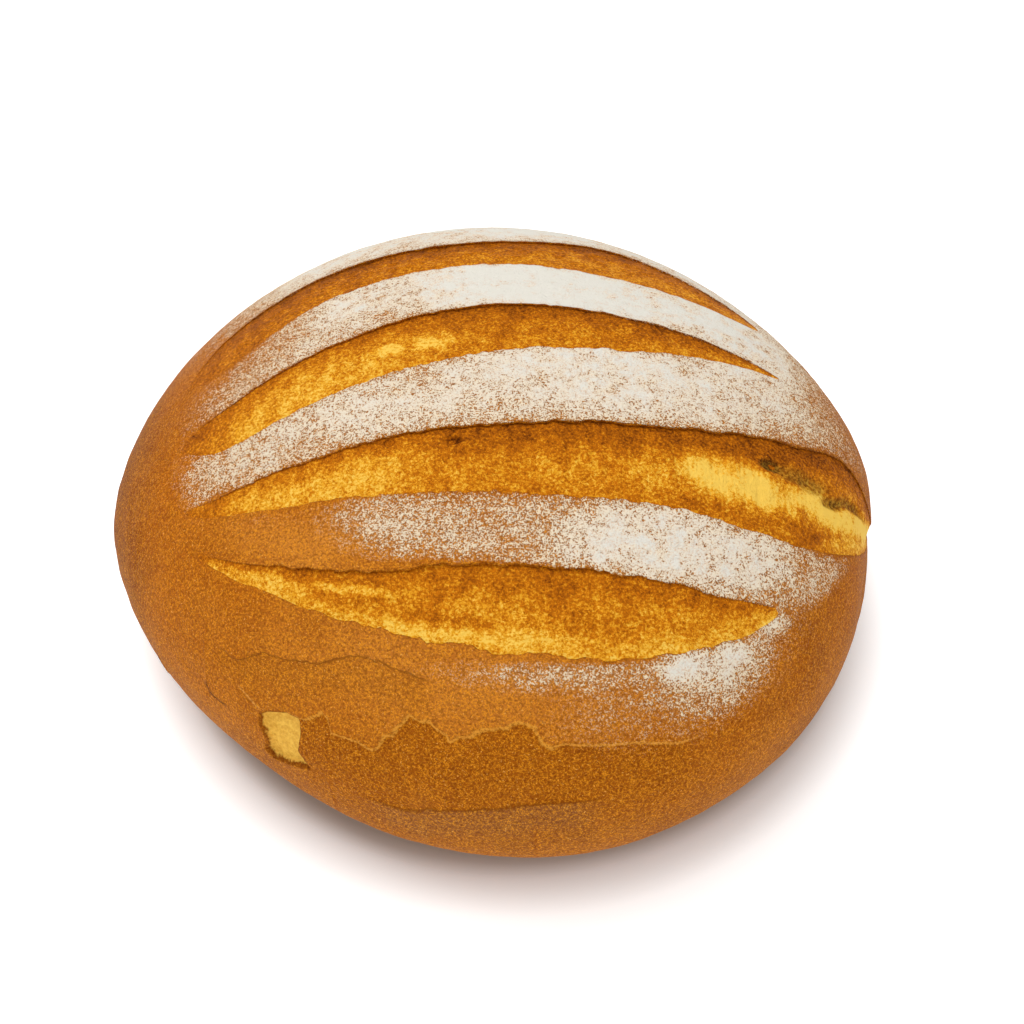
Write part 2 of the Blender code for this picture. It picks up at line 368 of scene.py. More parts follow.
SCORES = (
    Score("first", -104.0, 96.0, (-12.0, -25.5, -32.6, -34.6, -38.6, -35.2, -31.0),
          (-12.0, -10.5, -20.6, -24.4, -24.6, -26.2, -31.0), (-22.0, -52.0), 0.5,
          (0.78, 0.62, 0.50, 0.44, 0.48), seed=101, left_glow=-0.06),
    Score("second", -102.0, 99.0, (10.5, 3.0, -5.9, -11.9, -12.2, -10.5, -8.9),
          (10.5, 14.6, 5.8, -1.0, -3.8, -7.0, -8.9), (6.0, -12.0), 0.6,
          (0.78, 0.60, 0.48, 0.42, 0.44), seed=131, fibre=0.1, spots=(
              Spot(-34.0, 0.52, 2.6, 0.13, toast=-0.34), Spot(-30.0, 0.58, 2.4, 0.09, toast=-0.26),
              Spot(-20.5, 0.60, 3.2, 0.12, toast=-0.34), Spot(-14.5, 0.67, 3.6, 0.10, toast=-0.34))),
    Score("third", -98.0, 134.5, (30.5, 27.0, 20.3, 14.4, 12.0, 11.3, 11.3, 17.6, 76.0),
          (30.5, 30.8, 27.8, 24.5, 24.0, 26.3, 35.7, 49.5, 76.0), (32.0, 78.0), 0.7,
          (0.76, 0.58, 0.42, 0.38, 0.44), lump=0.6, seed=161, gape=12.0, fibre=0.30, spots=(
              # Where a spot sinks the crumb and raises its toast, the darkening is painted shade in the
              # hollow
              Spot(-31.0, 0.12, 1.6, 0.06, toast=0.4, sink=1.8),
              Spot(-10.5, 0.22, 2.8, 0.055, toast=0.35, sink=1.6),
              Spot(52.0, 0.52, 10.0, 0.22, toast=-0.12),
              Spot(75.0, 0.49, 14.0, 0.22, toast=-0.52),
              Spot(88.0, 0.56, 5.5, 0.19, toast=-0.38),
              Spot(96.5, 0.56, 4.0, 0.17, toast=-0.24),
              Spot(106.0, 0.51, 7.5, 0.13, toast=-0.46),
              Spot(119.0, 0.65, 13.0, 0.13, toast=-0.48),
              Spot(130.0, 0.60, 6.0, 0.26, toast=-0.40, sink=0.3),
              Spot(120.0, 0.90, 11.0, 0.10, toast=-0.20),
              Spot(98.0, 0.12, 20.0, 0.13, toast=0.09),
              Spot(84.0, 0.88, 25.0, 0.10, toast=0.10),
              Spot(104.0, 0.84, 9.0, 0.11, toast=0.15),
              # These spots paint shade into the crumb's hollows: they grey it, and darken it where they sink
              # it
              Spot(91.5, 0.27, 3.6, 0.06, toast=0.42, painted_shade=0.5, sink=1.6),
              Spot(99.5, 0.30, 6.5, 0.075, toast=0.02, painted_shade=0.55, sink=0.9),
              Spot(107.0, 0.375, 5.5, 0.08, toast=0.02, painted_shade=0.55, sink=1.0),
              Spot(113.5, 0.50, 4.5, 0.065, toast=0.26, painted_shade=0.7, sink=1.6),
              Spot(121.5, 0.45, 6.0, 0.06, toast=0.16, painted_shade=0.6, sink=1.2))),
    Score("fourth", -93.0, 91.0, (40.0, 40.0, 38.4, 35.3, 36.7, 43.4, 48.0),
          (40.0, 43.6, 46.6, 48.6, 50.1, 50.1, 48.0), (58.0, 100.0), 0.7,
          (0.56, 0.50, 0.34, 0.32, 0.18), lump=1.0, seed=191, tip_blend=4.0, left_glow=0.0,
          waver=(0.35, 0.30), spots=(
              Spot(-36.0, 0.60, 22.0, 0.20, toast=0.08), Spot(-41.0, 0.37, 15.0, 0.09, toast=-0.28),
              Spot(-66.0, 0.55, 13.0, 0.30, toast=-0.16), Spot(-20.0, 0.86, 34.0, 0.11, toast=-0.10),
              Spot(12.0, 0.80, 16.0, 0.10, toast=-0.12),
              Spot(34.0, 0.60, 22.0, 0.14, toast=0.12), Spot(-10.0, 0.70, 12.0, 0.12, toast=0.14))),
)


@dataclass(frozen=True)
class Puff:
    """A soft spot on the crust: where its middle lies, how far it reaches, and how strong it is."""

    x: float
    roll: float
    reach_x: float
    reach_roll: float
    strength: float

    def at(self, x: np.ndarray, roll: np.ndarray) -> np.ndarray:
        """The spot's strength times a bell curve of the distance from its middle."""
        far = ((x - self.x) / self.reach_x) ** 2 + ((roll - self.roll) / self.reach_roll) ** 2
        return self.strength * np.exp(-far)


@dataclass(frozen=True)
class Flour:
    """All the flour on the crust, as puffs that add up."""

    puffs: tuple[Puff, ...] = (
        Puff(8.0, -52.0, 60.0, 22.0, 1.9),
        Puff(-64.0, -42.0, 28.0, 18.0, 0.85),
        Puff(82.0, -46.0, 26.0, 20.0, 1.00),
        Puff(20.0, -18.0, 50.0, 10.0, 2.10),
        Puff(-52.0, -12.0, 20.0, 14.0, 0.72),
        Puff(-80.0, 0.0, 16.0, 8.0, 0.42),
        Puff(88.0, -22.0, 22.0, 13.0, 1.00),
        Puff(48.0, 2.0, 44.0, 12.0, 1.30),
        Puff(-4.0, 6.0, 28.0, 11.0, 0.62),
        Puff(-42.0, 10.0, 28.0, 9.0, 0.78),
        Puff(-76.0, 18.0, 18.0, 8.0, 0.64),
        Puff(92.0, -3.0, 17.0, 13.0, 0.60),
        Puff(116.0, 4.0, 12.0, 10.0, 0.18),
        Puff(54.0, 32.0, 34.0, 9.0, 1.42),
        Puff(-2.0, 30.0, 22.0, 8.0, 0.42),
        Puff(-30.0, 29.0, 15.0, 5.0, 0.46),
        Puff(86.0, 39.0, 18.0, 7.0, 0.60),
        Puff(106.0, 45.0, 9.0, 4.0, 0.45),
        Puff(60.0, 53.0, 8.0, 2.8, 1.10),
        Puff(76.0, 54.0, 10.0, 4.2, 0.86),
        Puff(88.0, 50.0, 5.0, 2.6, 0.60),
        Puff(72.0, 60.0, 9.0, 4.0, 0.34),
        Puff(24.0, 52.5, 30.0, 2.2, 0.34),
        Puff(58.0, 58.0, 30.0, 8.0, 0.20),
        Puff(-94.0, 22.0, 5.0, 7.0, 0.26),
    )

    def lies(self, x: np.ndarray, roll: np.ndarray) -> np.ndarray:
        """How thick the flour lies: all the puffs together."""
        return sum(puff.at(x, roll) for puff in self.puffs)


@dataclass(frozen=True)
class Crack:
    """A line across the front crust where an outer layer of it ends, given as roll over X.

    line is the colour of the layer's edge, and bed that of the crust bared below it, down to
    bed_mm. Both fade away past the line's ends.
    """

    name: str
    stations: tuple[float, ...]
    rolls: tuple[float, ...]
    step: float
    line: str
    line_strength: float
    bed: str
    bed_strength: float
    bed_mm: float
    width: float = 0.5
    fade: float = 8.0

    def away(self, x: np.ndarray, roll: np.ndarray, mm_per_degree: float) -> np.ndarray:
        """Finds how far places lie below the line.

        It is the difference in roll, as a length, over the root of 1 and the line's slope squared.

        Args:
            x: Stations in millimetres.
            roll: Roll angles in degrees.
            mm_per_degree: Length on the skin of one degree of roll.

        Returns:
            Distances in millimetres.
        """
        level = np.interp(x, self.stations, self.rolls)
        slope = (np.interp(x + 0.5, self.stations, self.rolls) - level) * 2.0 * mm_per_degree
        return (roll - level) * mm_per_degree / np.sqrt(1.0 + slope * slope)

    def strength(self, x: np.ndarray) -> np.ndarray:
        """1 along the line, easing to 0 past its ends."""
        begun = ease((x - self.stations[0]) / self.fade + 1.0)
        return begun * ease((self.stations[-1] - x) / self.fade + 1.0)


@dataclass(frozen=True)
class FrontCrust:
    """What shows only on the front crust: the flaked layers and the chip."""

    mm_per_degree: float = 1.5
    cracks: tuple[Crack, ...] = (
        Crack("shoulder", (-82, -80, -78, -69, -61, -51, -47, -41, -35, -26, -20),
              (61.6, 62.4, 62.2, 57.6, 57.2, 55.9, 54.6, 53.0, 52.6, 53.6, 54.5),
              0.25, "#6E3A0A", 0.70, "#A8600F", 0.45, 14.0, width=0.4, fade=5.0),
        Crack("ridge",
              (-56, -53, -50, -48, -47.4, -43, -39, -35, -33, -30.7, -28, -24.7, -22.9, -20, -17, -14.5, -12,
               -10.8, -8.4, -5, -2.8, 0, 3, 6, 9, 11.3, 14.5, 16.4, 19, 23, 31, 46, 58),
              (69.4, 67.9, 66.0, 67.0, 70.0, 70.1, 70.0, 71.0, 70.2, 67.2, 66.1, 62.8, 61.6, 62.4, 62.3,
               63.5, 64.1, 65.4, 64.4, 63.9, 63.0, 62.1, 62.0, 61.6, 60.7, 60.8, 61.5, 64.3, 65.4, 64.7,
               65.2, 65.9, 68.0),
              0.50, "#E8A038", 0.85, "#A05404", 0.90, 36.0, width=0.7),
        Crack("heel", (-27, -21, -18, -12, -4, 3, 14, 24), (85.2, 84.6, 82.9, 82.1, 80.7, 79.7, 78.0, 77.8),
              -0.3, "#7A3C06", 0.70, "#92582A", 0.80, 18.0, fade=16.0),
        Crack("scar", (-89.8, -89.0, -87.2, -84.3), (76.5, 78.5, 79.0, 79.0),
              0.35, "#522402", 1.0, "#B4691F", 0.0, 4.0, width=1.7, fade=1.5),
        Crack("curl", (-77.0, -75.5, -74.0, -72.0), (69.6, 70.4, 71.2, 72.2),
              0.30, "#F0AC48", 0.60, "#B4691F", 0.0, 4.0, width=0.9, fade=1.5),
        Crack("nick", (-111.0, -109.5, -108.0), (93.0, 95.0, 97.0),
              0.55, "#522402", 1.0, "#B4691F", 0.0, 4.0, width=1.7, fade=1.5),
    )
    chip_outline: tuple[tuple[float, float], ...] = (
        (-70.5, 74.0), (-68.5, 72.4), (-62.0, 70.0), (-58.2, 70.2), (-57.8, 73.0), (-59.2, 79.5),
        (-55.5, 83.4), (-62.0, 85.6), (-68.0, 88.0), (-70.4, 86.6), (-69.0, 81.2), (-71.2, 77.0),
    )
    chip_depth: float = 2.6
    chip_slope: float = 1.1
    step_width: float = 0.9
    step_reach: float = 5.0

    def chip_edge(self, x: np.ndarray, roll: np.ndarray) -> np.ndarray:
        """Measures the distance to the chip's outline in millimetres.

        The distance is the least over the outline's straight sides, and its sign comes from
        how often a level line from the place crosses them.

        Args:
            x: Stations in millimetres.
            roll: Roll angles in degrees.

        Returns:
            Distances, positive inside the chip.
        """
        corners = np.array(self.chip_outline) * (1.0, self.mm_per_degree)
        place = np.stack(np.broadcast_arrays(x, roll * self.mm_per_degree), axis=-1)
        least = np.full(place.shape[:-1], np.inf)
        inside = np.zeros(place.shape[:-1], dtype=bool)
        for start, end in zip(corners, np.roll(corners, -1, axis=0)):
            side = end - start
            share = np.clip(((place - start) @ side) / (side @ side), 0.0, 1.0)
            least = np.minimum(least, np.linalg.norm(place - start - share[..., None] * side, axis=-1))
            spans = (start[1] > place[..., 1]) != (end[1] > place[..., 1])
            crossing = start[0] + (place[..., 1] - start[1]) * side[0] / (side[1] if side[1] else 1.0)
            inside ^= spans & (place[..., 0] < crossing)
        return np.where(inside, least, -least)

    def relief(self, x: np.ndarray, roll: np.ndarray) -> np.ndarray:
        """Raises the crust to one side of each crack's line and lowers it to the other, and sinks the chip.

        Args:
            x: Stations in millimetres.
            roll: Roll angles in degrees.

        Returns:
            Heights above the form in millimetres.
        """
        height = np.zeros(np.broadcast(x, roll).shape)
        for crack in self.cracks:
            away = crack.away(x, roll, self.mm_per_degree)
            side = 1.0 - 2.0 * ease(away / self.step_width + 0.5)
            height += crack.strength(x) * crack.step * np.exp(-np.abs(away) / self.step_reach) * side
        return height - self.chip_depth * ease(self.chip_edge(x, roll) / self.chip_slope + 0.5)


class Edge(Enum):
    """How a piece of crust ends: in a lip that curls up, in a flush shelf, or under the base."""

    LIP = "lip"
    SHELF = "shelf"
    BASE = "base"


class Finish:
    """A material in the making, filled node by node."""

    def __init__(self, name: str) -> None:
        """Starts an empty node tree under the finish's name."""
        self.material = bpy.data.materials.new(name)
        self.material.use_nodes = True
        self.tree = self.material.node_tree
        self.tree.nodes.clear()

    def add(self, kind: str, links: dict | None = None, **settings) -> bpy.types.Node:
        """Adds one node.

        Args:
            kind: The node's type, such as ShaderNodeMath.
            links: Its inputs by name or number, each a value or a socket of another node.
            **settings: Its own settings, such as operation.

        Returns:
            The new node.
        """
        node = self.tree.nodes.new(kind)
        for name, value in settings.items():
            setattr(node, name, value)
        for key, value in (links or {}).items():
            if isinstance(value, Socket):
                self.tree.links.new(value, node.inputs[key])
            else:
                node.inputs[key].default_value = value
        return node

    def field(self, name: str, output: str = "Fac") -> Socket:
        """Reads a value kept at the mesh's points."""
        return self.add("ShaderNodeAttribute", attribute_name=name).outputs[output]

    def noise(self, place: Socket, size_mm: float, detail: float) -> Socket:
        """Adds soft noise whose largest grains are size_mm across, for coordinates in metres."""
        inputs = {"Vector": place, "Scale": 1.0 / (size_mm * MM), "Detail": detail, "Roughness": 0.62}
        return self.add("ShaderNodeTexNoise", inputs).outputs["Fac"]

    def span(self, value: Socket, low: float, high: float, to_low: float = 0.0, to_high: float = 1.0,
             way: str = "LINEAR") -> Socket:
        """Maps a value from one range to another, held at both ends."""
        inputs = {"Value": value, "From Min": low, "From Max": high, "To Min": to_low, "To Max": to_high}
        return self.add("ShaderNodeMapRange", inputs, interpolation_type=way).outputs[0]

    def times(self, value: Socket, factor: object, plus: object = 0.0) -> Socket:
        """Multiplies a value by a factor and adds another to it."""
        inputs = {0: value, 1: factor, 2: plus}
        return self.add("ShaderNodeMath", inputs, operation="MULTIPLY_ADD").outputs[0]

    def veins(self, noise: Socket, width: float) -> Socket:
        """Turns noise into thin winding lines: 1 where it is at its middle value, 0 a width away from it."""
        off = self.add("ShaderNodeMath", {0: noise, 1: 0.5}, operation="SUBTRACT").outputs[0]
        return self.span(self.add("ShaderNodeMath", {0: off}, operation="ABSOLUTE").outputs[0], width, 0.0)

    def blend(self, share: object, first: object, second: object) -> Socket:
        """Mixes two colours, each a socket or a hex code."""
        first, second = (linear(colour) if isinstance(colour, str) else colour for colour in (first, second))
        return self.add("ShaderNodeMix", {0: share, 6: first, 7: second}, data_type="RGBA").outputs[2]

    def ramp(self, value: Socket, stops: list[tuple[float, str]]) -> Socket:
        """Runs a value through a colour ramp.

        Args:
            value: Where the ramp is read.
            stops: Its places, each with a hex colour.

        Returns:
            The colour.
        """
        node = self.add("ShaderNodeValToRGB", {"Fac": value})
        elements = node.color_ramp.elements
        elements.remove(elements[-1])
        elements[0].position, elements[0].color = stops[0][0], linear(stops[0][1])
        for position, code in stops[1:]:
            elements.new(position).color = linear(code)
        return node.outputs["Color"]

    def close(self, inputs: dict) -> bpy.types.Material:
        """Sends a principled shader with these inputs to the output and gives back the material."""
        shader = self.add("ShaderNodeBsdfPrincipled", inputs)
        self.add("ShaderNodeOutputMaterial", {"Surface": shader.outputs[0]})
        return self.material


class MottledFinish(Finish):
    """A finish with the noises that its parts share: fleck, blotch and bank, from -0.5 to 0.5."""

    def __init__(self, name: str, grain_mm: float, clump_mm: float, drift_mm: float) -> None:
        """Starts the finish with its object coordinates and noises.

        Args:
            name: The finish's name.
            grain_mm: Size of the fine noise.
            clump_mm: Size of the middling noise.
            drift_mm: Size of the coarse noise.
        """
        super().__init__(name)
        self.place = self.add("ShaderNodeTexCoord").outputs["Object"]
        self.grain = self.noise(self.place, grain_mm, 3.0)
        self.clump = self.noise(self.place, clump_mm, 3.0)
        self.fleck = self.span(self.grain, 0.38, 0.62, -0.5, 0.5)
        self.blotch = self.span(self.clump, 0.34, 0.66, -0.5, 0.5)
        self.bank = self.span(self.noise(self.place, drift_mm, 4.0), 0.30, 0.70, -0.5, 0.5)


@dataclass(frozen=True)
class BakedCrust:
    """Hearth-baked wheat crust dusted with flour: dull, finely veined, gold to red-brown.

    Values in mm are the sizes of its noises: grain, clump and drift mottle the crust, and
    dot and clot heap up the flour. raggedness is how far a crack's edge strays.
    """

    gold: str = "#B86004"
    tan: str = "#CA7C2C"
    brown: str = "#A05204"
    dark: str = "#6A2E02"
    vein: str = "#F09C20"
    speck: str = "#FFBC58"
    pit: str = "#642A00"
    flour: str = "#E9E4D8"
    thin_flour: str = "#F5DFBE"
    film: str = "#D09256"
    crumb: str = "#FFCC58"
    stale: str = "#E0A23C"
    torn_edge: str = "#7C3E08"
    grain_mm: float = 0.85
    clump_mm: float = 2.2
    drift_mm: float = 14.0
    clot_mm: float = 5.5
    dot_mm: float = 0.48
    raggedness: float = 0.8
    roughness: float = 0.6
    flour_roughness: float = 0.95
    specular: float = 0.05

    def make(self, name: str, cracks: tuple[Crack, ...] = ()) -> bpy.types.Material:
        """Builds the node tree.

        The attribute toast runs from gold to dark, rose leans the colour to tan, flour is how
        thick the dusting lies, and chip is the distance into the bare crumb.

        Args:
            name: The material's name.
            cracks: Lines to draw on the crust, each kept at the points under its own name.

        Returns:
            The material.
        """
        finish = MottledFinish(name, self.grain_mm, self.clump_mm, self.drift_mm)
        dot = finish.span(finish.noise(finish.place, self.dot_mm, 1.0), 0.36, 0.64, -0.5, 0.5)
        clot = finish.span(finish.noise(finish.place, self.clot_mm, 3.0), 0.34, 0.66, -0.5, 0.5)
        colour = self.bake(finish)
        for crack in cracks:
            colour = self.tint_bed(finish, colour, crack)
        dusting = finish.field("flour")
        depth = finish.times(finish.times(finish.bank, 0.5, finish.times(clot, 0.65)), dusting, dusting)
        filmed = finish.blend(finish.span(depth, 0.03, 0.5, 0.0, 0.6), colour, self.film)
        speckled = self.speckle(finish, filmed)
        for crack in cracks:
            speckled = self.draw_line(finish, speckled, crack)
        lumps = finish.times(dot, 0.95, finish.times(finish.fleck, 0.65, finish.times(finish.blotch, 0.45)))
        powdered, cover = self.dust(finish, speckled, depth, lumps)
        bump = finish.add("ShaderNodeBump", {
            "Height": finish.times(cover, 0.3, finish.grain), "Distance": 0.6 * MM, "Strength": 1.0})
        soft = finish.add("ShaderNodeBump", {
            "Height": finish.clump, "Distance": 0.9 * MM, "Strength": 0.6, "Normal": bump.outputs[0]})
        return finish.close({
            "Base Color": self.break_out(finish, powdered), "IOR": 1.45, "Specular IOR Level": self.specular,
            "Roughness": finish.span(cover, 0.0, 1.0, self.roughness, self.flour_roughness),
            "Normal": soft.outputs[0]})

    def bake(self, finish: MottledFinish) -> Socket:
        """Colours the bare crust: gold to dark by its baking.

        Args:
            finish: The material in the making.

        Returns:
            The crust's colour.
        """
        coarse = finish.times(finish.bank, 0.22, finish.field("toast"))
        level = finish.times(finish.fleck, 0.20, finish.times(finish.blotch, 0.24, coarse))
        baked = finish.ramp(level, [(0.0, self.gold), (0.45, self.brown), (1.0, self.dark)])
        return finish.blend(finish.field("rose"), baked, self.tan)

    def speckle(self, finish: MottledFinish, colour: Socket) -> Socket:
        """Sinks dark pits into the crust, and lays fine golden veins and a few bright specks on it.

        Args:
            finish: The material in the making.
            colour: The crust's colour so far.

        Returns:
            The speckled colour.
        """
        pitted = finish.blend(finish.span(finish.fleck, 0.0, -0.5, 0.0, 0.50), colour, self.pit)
        wound = finish.noise(finish.place, 1.3 * self.grain_mm, 2.0)
        vein = finish.times(finish.veins(wound, 0.07), finish.span(finish.fleck, -0.3, 0.3, 0.20, 0.85))
        spark = finish.span(finish.noise(finish.place, 0.8 * self.grain_mm, 1.0), 0.66, 0.76, 0.0, 0.6)
        return finish.blend(spark, finish.blend(vein, pitted, self.vein), self.speck)

    def crack_place(self, finish: MottledFinish, crack: Crack) -> tuple[Socket, Socket]:
        """Reads how far below a crack a place lies in millimetres, made ragged, and the crack's strength."""
        parts = finish.add("ShaderNodeSeparateXYZ", {"Vector": finish.field(crack.name, "Vector")})
        return finish.times(finish.blotch, self.raggedness, parts.outputs[0]), parts.outputs[1]

    def tint_bed(self, finish: MottledFinish, colour: Socket, crack: Crack) -> Socket:
        """Tints the crust that an outer layer has left bare below its edge.

        Args:
            finish: The material in the making.
            colour: The crust's colour so far.
            crack: The edge, whose name is also that of its attribute of distance and strength.

        Returns:
            The colour with the bed tinted.
        """
        if not crack.bed_strength:
            return colour
        away, strength = self.crack_place(finish, crack)
        bed = finish.span(away, crack.bed_mm, 0.4 * crack.bed_mm, 0.0, crack.bed_strength, "SMOOTHSTEP")
        bedded = finish.times(finish.times(bed, finish.span(away, -0.1, 0.1)), strength)
        return finish.blend(bedded, colour, crack.bed)

    def draw_line(self, finish: MottledFinish, colour: Socket, crack: Crack) -> Socket:
        """Draws the edge of an outer layer of crust, broken up by the fine noise.

        Args:
            finish: The material in the making.
            colour: The crust's colour so far.
            crack: The edge.

        Returns:
            The colour with the line drawn.
        """
        away, strength = self.crack_place(finish, crack)
        far = finish.add("ShaderNodeMath", {0: away}, operation="ABSOLUTE").outputs[0]
        line = finish.span(far, crack.width, 0.4 * crack.width, 0.0, crack.line_strength)
        broken = finish.times(finish.times(line, strength), finish.span(finish.fleck, -0.4, 0.1, 0.35, 1.0))
        return finish.blend(broken, colour, crack.line)

    def dust(self, finish: MottledFinish, colour: Socket, depth: Socket,
             lumps: Socket) -> tuple[Socket, Socket]:
        """Lays flour over the crust: single grains where it is thin, a white cover where it is thick.

        In between, the crust still shows through in the dips.

        Args:
            finish: The material in the making.
            colour: The crust's colour.
            depth: How thick the flour lies.
            lumps: Noise that heaps it up.

        Returns:
            The dusted colour and the share that the flour covers.
        """
        grains = finish.span(finish.times(lumps, 1.0, depth), 0.28, 0.72, 0.0, 1.0, "SMOOTHSTEP")
        cover = finish.times(grains, finish.span(depth, 0.02, 0.22))
        powder = finish.blend(finish.span(depth, 0.45, 1.6), self.thin_flour, self.flour)
        dips = finish.times(finish.span(lumps, 0.1, -0.6, 0.0, 0.65), finish.span(depth, 2.0, 1.0))
        return finish.blend(cover, colour, finish.blend(dips, powder, self.film)), cover

    def break_out(self, finish: MottledFinish, colour: Socket) -> Socket:
        """Bares the mottled yellow crumb where the chip is, inside a thin dark edge.

        Args:
            finish: The material in the making.
            colour: The crust's colour.

        Returns:
            The colour with the chip.
        """
        inside = finish.times(finish.blotch, 0.5, finish.field("chip"))
        mottle = finish.times(finish.blotch, 0.7, finish.times(finish.fleck, 0.5, 0.45))
        rimmed = finish.blend(finish.span(inside, -0.9, -0.2, 0.0, 0.75), colour, self.torn_edge)
        crumb = finish.blend(mottle, self.crumb, self.stale)
        return finish.blend(finish.span(inside, -0.15, 0.25), rimmed, crumb)


@dataclass(frozen=True)
class TornCrumb:
    """Wheat crumb that tore open in the oven and then browned: dull, rough, amber with pale strands."""

    pale: str = "#FFD05A"
    yellow: str = "#F2AC26"
    amber: str = "#CE740A"
    brown: str = "#9C5208"
    dark: str = "#562602"
    # Colours of painted shade in the crumb's hollows, an olive grey and a dark brown, mixed by noise
    painted_shade: str = "#B48C30"
    painted_shade_dark: str = "#5C400F"
    grain_mm: float = 1.0
    patch_mm: float = 4.6
    strand_mm: float = 1.1
    roughness: float = 0.65
    specular: float = 0.05

    def make(self, name: str) -> bpy.types.Material:
        """Builds the node tree.

        The attribute toast picks the colour, and painted shade greys it where the spots put it. Where
        fibre says so, strands run across the cut, drawn in the coordinates kept as pull.

        Args:
            name: The material's name.

        Returns:
            The material.
        """
        finish = Finish(name)
        place = finish.add("ShaderNodeTexCoord").outputs["Object"]
        toast = finish.field("toast")
        grain = finish.noise(place, self.grain_mm, 3.0)
        patch = finish.noise(place, self.patch_mm, 4.0)
        strand = finish.noise(finish.field("pull", "Vector"), self.strand_mm, 3.0)
        fleck = finish.span(grain, 0.36, 0.64, -0.5, 0.5)
        blotch = finish.span(patch, 0.33, 0.67, -0.5, 0.5)
        vein = finish.veins(finish.noise(place, 1.4 * self.grain_mm, 2.0), 0.05)
        fold = finish.veins(finish.noise(place, 2.4 * self.grain_mm, 3.0), 0.03)
        stringy = finish.field("fibre")
        fibre = finish.times(finish.span(strand, 0.35, 0.65, -0.4, 0.6), stringy)
        level = finish.times(blotch, 0.22, finish.times(fold, 0.20, finish.times(vein, -0.20, toast)))
        speckled = finish.times(fleck, finish.span(stringy, 0.0, 0.30, 0.34, 0.24), level)
        baked = finish.ramp(finish.times(fibre, 1.0, speckled), [
            (0.0, self.pale), (0.18, self.yellow), (0.42, self.amber), (0.70, self.brown), (1.0, self.dark)])
        # Painted shade: where the spots say so, the crumb is greyed towards olive and dark brown
        painted_shade_mottle = finish.span(finish.times(blotch, 0.6, fleck), -0.35, 0.35)
        painted_shade_share = finish.times(finish.field("painted_shade"), finish.span(strand, 0.35, 0.65, 0.7, 1.3))
        height = finish.times(patch, 0.9, finish.times(vein, 0.12, grain))
        bump = finish.add("ShaderNodeBump", {"Height": height, "Distance": 0.8 * MM, "Strength": 0.9})
        return finish.close({
            "Base Color": finish.blend(painted_shade_share, baked, finish.blend(painted_shade_mottle, self.painted_shade, self.painted_shade_dark)),
            "Roughness": self.roughness, "IOR": 1.45, "Specular IOR Level": self.specular,
            "Normal": bump.outputs[0]})


def ring_loft(name: str, points: np.ndarray, tips: np.ndarray, material: bpy.types.Material,
              fields: dict[str, np.ndarray]) -> bpy.types.Object:
    """Makes a closed body from rings of points, with a fan at each end.

    Row i, column j of the grid is a point. Each row joins the next, the last joins the
    first by flat faces, which shade nothing outside, and the first and last columns run to
    the two tips.

    Args:
        name: The piece's name.
        points: Grid of points in millimetres, rows by columns by 3.
        tips: The left and the right tip.
        material: The finish.
        fields: Values to keep at every point, each rows by columns, or by 3 for a vector.

    Returns:
        The new object.
    """
    rows, columns = points.shape[:2]
    number = np.arange(rows * columns).reshape(rows, columns)
    below = np.roll(number, -1, axis=0)
    quads = np.stack([number[:, :-1], number[:, 1:], below[:, 1:], below[:, :-1]], axis=-1).reshape(-1, 4)
    left, right = rows * columns, rows * columns + 1
    fans = np.concatenate([
        np.stack([np.full(rows, left), number[:, 0], below[:, 0]], axis=-1),
        np.stack([np.full(rows, right), below[:, -1], number[:, -1]], axis=-1),
    ])
    flat = np.concatenate([points.reshape(-1, 3), tips]) * MM
    mesh = bpy.data.meshes.new(name)
    mesh.vertices.add(len(flat))
    mesh.vertices.foreach_set("co", flat.astype(np.float32).ravel())
    sizes = np.concatenate([np.full(len(quads), 4), np.full(len(fans), 3)])
    corners = np.concatenate([quads.ravel(), fans.ravel()])
    mesh.loops.add(len(corners))
    mesh.loops.foreach_set("vertex_index", corners.astype(np.int32))
    mesh.polygons.add(len(sizes))
    mesh.polygons.foreach_set("loop_start", (np.cumsum(sizes) - sizes).astype(np.int32))
    mesh.update(calc_edges=True)
    smooth = np.ones(len(sizes), dtype=bool)
    smooth[(rows - 1) * (columns - 1):rows * (columns - 1)] = False
    mesh.polygons.foreach_set("use_smooth", smooth)
    for field_name, grid in fields.items():
        vector = grid.ndim == 3
        ends = grid[[0, 0], [0, -1]]
        values = np.concatenate([grid.reshape(-1, 3) if vector else grid.ravel(), ends])
        layer = mesh.attributes.new(field_name, "FLOAT_VECTOR" if vector else "FLOAT", "POINT")
        layer.data.foreach_set("vector" if vector else "value", values.astype(np.float32).ravel())
    mesh.materials.append(material)
    return add_object(name, mesh)


